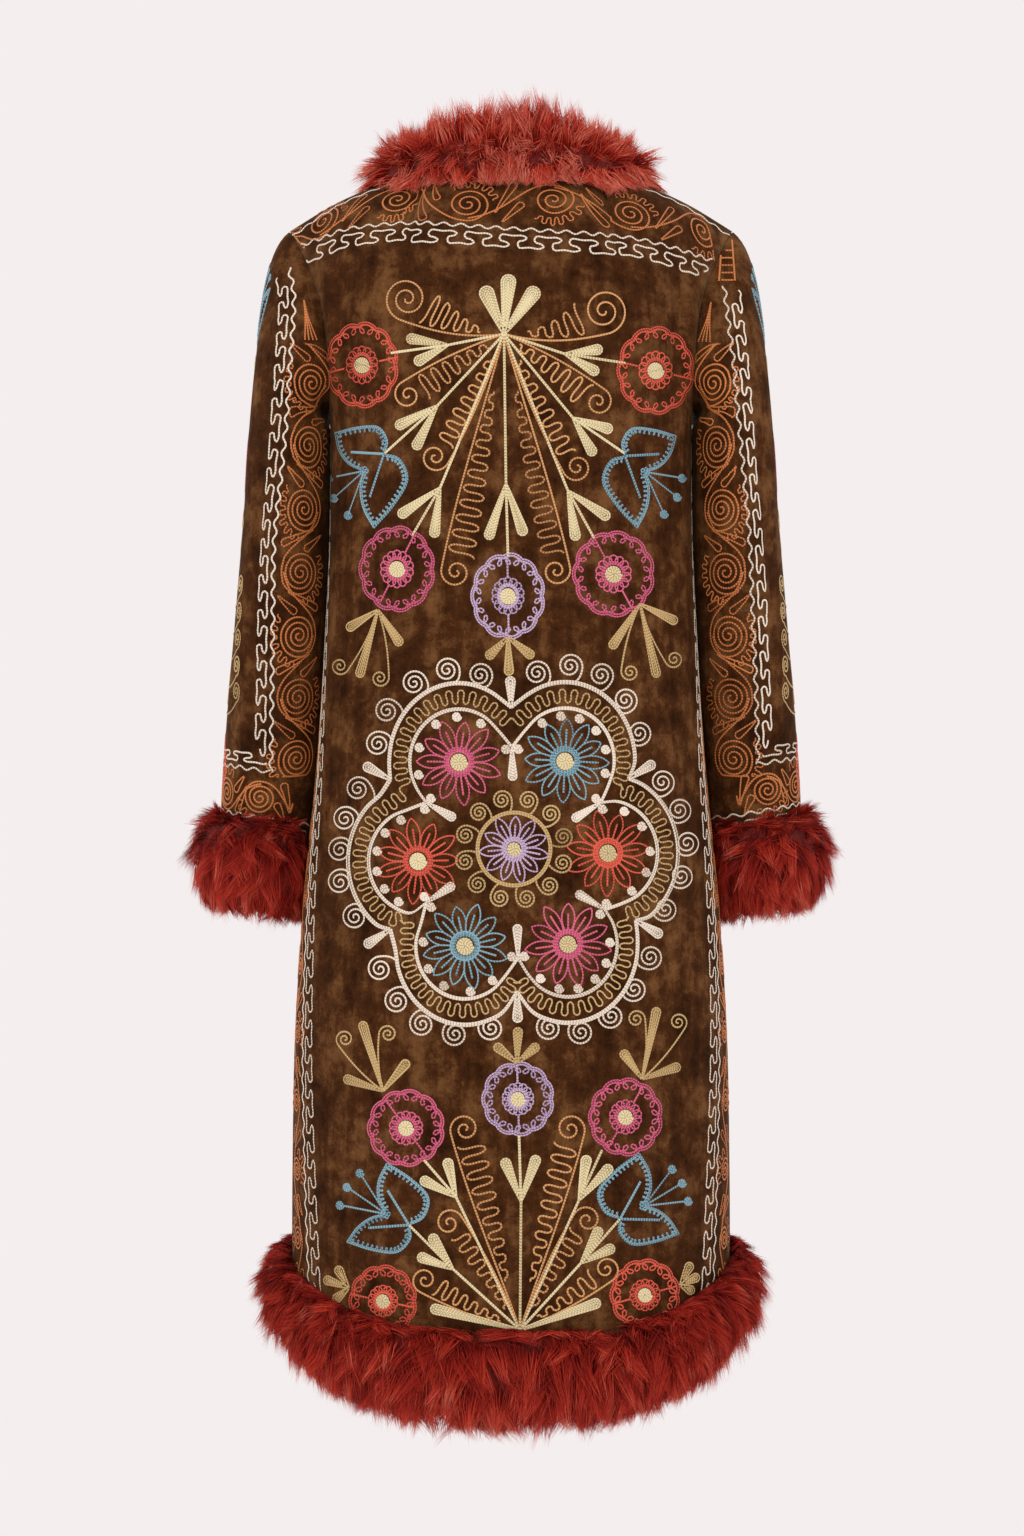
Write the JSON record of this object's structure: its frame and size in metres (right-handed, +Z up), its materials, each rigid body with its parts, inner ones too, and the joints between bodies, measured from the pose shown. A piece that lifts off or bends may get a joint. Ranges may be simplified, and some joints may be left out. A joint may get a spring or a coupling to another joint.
{
  "type": "long embroidered coat",
  "caption": "Long straight coat of brown suede with fur collar, cuffs and hem band, embroidered all over, open and hollow as when worn.",
  "frame": {"origin": "middle of the neck opening at the height of the side neck points, where the wearer's neck and shoulders hold the coat", "axes": "+Z up, the coat's front faces -Y, +X is the wearer's left"},
  "size_m": [0.6148, 0.3717, 1.149],
  "materials": {
    "suede": "matt nap",
    "fur": "long soft pile"
  },
  "bodies": {
    "root": {"back": "suede", "front_left": "suede", "front_right": "suede", "sleeve_left": "suede", "sleeve_right": "suede", "sleeve_cap_left": "suede", "sleeve_cap_right": "suede", "cuff_fur_left": "fur", "cuff_fur_right": "fur", "hem_fur": "fur", "collar_fur": "fur"}
  },
  "joints": []
}
